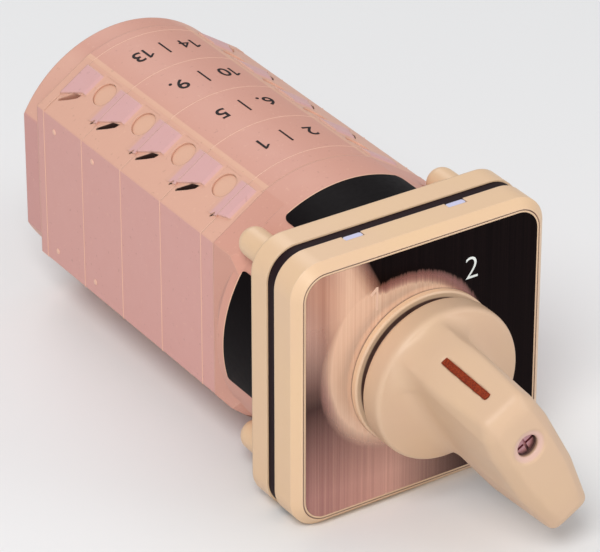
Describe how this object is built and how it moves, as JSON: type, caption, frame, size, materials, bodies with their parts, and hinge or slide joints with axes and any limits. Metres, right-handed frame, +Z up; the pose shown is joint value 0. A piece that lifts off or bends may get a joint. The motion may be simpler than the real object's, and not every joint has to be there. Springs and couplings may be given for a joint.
{
  "type": "cam switch",
  "caption": "Panel-mounted rotary cam switch with a square legend plate, a long pointer handle and a stack of contact stages behind the panel.",
  "frame": {"origin": "centre of the panel mounting plane, on the switch axis, where the gasket meets the rear flange", "axes": "+X right and +Z up as seen from the front, +Y backwards along the switch axis, away from the handle"},
  "size_m": [0.064, 0.1608, 0.064],
  "materials": {
    "cream_plastic": "satin moulded plastic, cream tan",
    "housing_plastic": "fine-grained moulded plastic, salmon pink",
    "legend_plate": "dark, vertically brushed and glossy",
    "gasket_rubber": "near-black elastomer",
    "label_black": "black film",
    "stripe_plastic": "reddish brown inlay",
    "inner_plastic": "off-white moulded plastic",
    "contact_brass": "bright strip",
    "plated_steel": "zinc plated",
    "spring_steel": "bright drawn wire"
  },
  "bodies": {
    "housing": {"front_frame": "cream_plastic", "legend_plate": "legend_plate", "gasket": "gasket_rubber", "mounting_flange": "cream_plastic", "detent_housing": "housing_plastic", "spacer_block": "housing_plastic", "label_top": "label_black", "label_side": "label_black", "detent_plunger_upper": "inner_plastic", "detent_plunger_lower": "inner_plastic", "detent_spring_upper": "spring_steel", "detent_spring_lower": "spring_steel", "terminal_screws": "plated_steel", "terminal_covers": "housing_plastic", "rear_plate": "housing_plastic", "rear_cap": "housing_plastic", "tie_rods": "plated_steel", "collar": "cream_plastic", "stage_housing_1": "housing_plastic", "fixed_contacts_1": "contact_brass", "contact_spring_upper_1": "spring_steel", "contact_spring_lower_1": "spring_steel", "stage_housing_2": "housing_plastic", "fixed_contacts_2": "contact_brass", "contact_spring_upper_2": "spring_steel", "contact_spring_lower_2": "spring_steel", "stage_housing_3": "housing_plastic", "fixed_contacts_3": "contact_brass", "contact_spring_upper_3": "spring_steel", "contact_spring_lower_3": "spring_steel", "stage_housing_4": "housing_plastic", "fixed_contacts_4": "contact_brass", "contact_spring_upper_4": "spring_steel", "contact_spring_lower_4": "spring_steel"},
    "rotor": {"knob": "cream_plastic", "pointer_insert": "stripe_plastic", "knob_screw": "plated_steel", "shaft": "plated_steel", "star_wheel": "inner_plastic", "cam_1": "inner_plastic", "cam_2": "inner_plastic", "cam_3": "inner_plastic", "cam_4": "inner_plastic"},
    "contact_upper_1": {"follower_upper_1": "inner_plastic", "bridge_upper_1": "contact_brass"},
    "contact_lower_1": {"follower_lower_1": "inner_plastic", "bridge_lower_1": "contact_brass"},
    "contact_upper_2": {"follower_upper_2": "inner_plastic", "bridge_upper_2": "contact_brass"},
    "contact_lower_2": {"follower_lower_2": "inner_plastic", "bridge_lower_2": "contact_brass"},
    "contact_upper_3": {"follower_upper_3": "inner_plastic", "bridge_upper_3": "contact_brass"},
    "contact_lower_3": {"follower_lower_3": "inner_plastic", "bridge_lower_3": "contact_brass"},
    "contact_upper_4": {"follower_upper_4": "inner_plastic", "bridge_upper_4": "contact_brass"},
    "contact_lower_4": {"follower_lower_4": "inner_plastic", "bridge_lower_4": "contact_brass"}
  },
  "joints": [
    {"name": "knob_turn", "type": "hinge", "parent": "housing", "child": "rotor", "pos_m": [0, 0, 0], "axis": [0, 1, 0], "range_deg": [0, 60]},
    {"name": "lift_upper_1", "type": "slide", "parent": "housing", "child": "contact_upper_1", "axis": [0, 0, 1], "range_m": [0, 0.0022], "deforming": ["contact_spring_upper_1"]},
    {"name": "lift_lower_1", "type": "slide", "parent": "housing", "child": "contact_lower_1", "axis": [0, 0, 1], "range_m": [0, 0.0022], "deforming": ["contact_spring_lower_1"]},
    {"name": "lift_upper_2", "type": "slide", "parent": "housing", "child": "contact_upper_2", "axis": [0, 0, 1], "range_m": [0, 0.0022], "deforming": ["contact_spring_upper_2"]},
    {"name": "lift_lower_2", "type": "slide", "parent": "housing", "child": "contact_lower_2", "axis": [0, 0, 1], "range_m": [0, 0.0022], "deforming": ["contact_spring_lower_2"]},
    {"name": "lift_upper_3", "type": "slide", "parent": "housing", "child": "contact_upper_3", "axis": [0, 0, 1], "range_m": [0, 0.0022], "deforming": ["contact_spring_upper_3"]},
    {"name": "lift_lower_3", "type": "slide", "parent": "housing", "child": "contact_lower_3", "axis": [0, 0, 1], "range_m": [0, 0.0022], "deforming": ["contact_spring_lower_3"]},
    {"name": "lift_upper_4", "type": "slide", "parent": "housing", "child": "contact_upper_4", "axis": [0, 0, 1], "range_m": [0, 0.0022], "deforming": ["contact_spring_upper_4"]},
    {"name": "lift_lower_4", "type": "slide", "parent": "housing", "child": "contact_lower_4", "axis": [0, 0, 1], "range_m": [0, 0.0022], "deforming": ["contact_spring_lower_4"]}
  ],
  "couplings": [
    {"joint": "lift_upper_1", "follows": "knob_turn", "m_per_rad": 0.0021},
    {"joint": "lift_lower_1", "follows": "knob_turn", "m_per_rad": 0.0021},
    {"joint": "lift_upper_2", "follows": "knob_turn", "m_per_rad": 0.0021},
    {"joint": "lift_lower_2", "follows": "knob_turn", "m_per_rad": 0.0021},
    {"joint": "lift_upper_3", "follows": "knob_turn", "m_per_rad": 0.0021},
    {"joint": "lift_lower_3", "follows": "knob_turn", "m_per_rad": 0.0021},
    {"joint": "lift_upper_4", "follows": "knob_turn", "m_per_rad": 0.0021},
    {"joint": "lift_lower_4", "follows": "knob_turn", "m_per_rad": 0.0021}
  ]
}
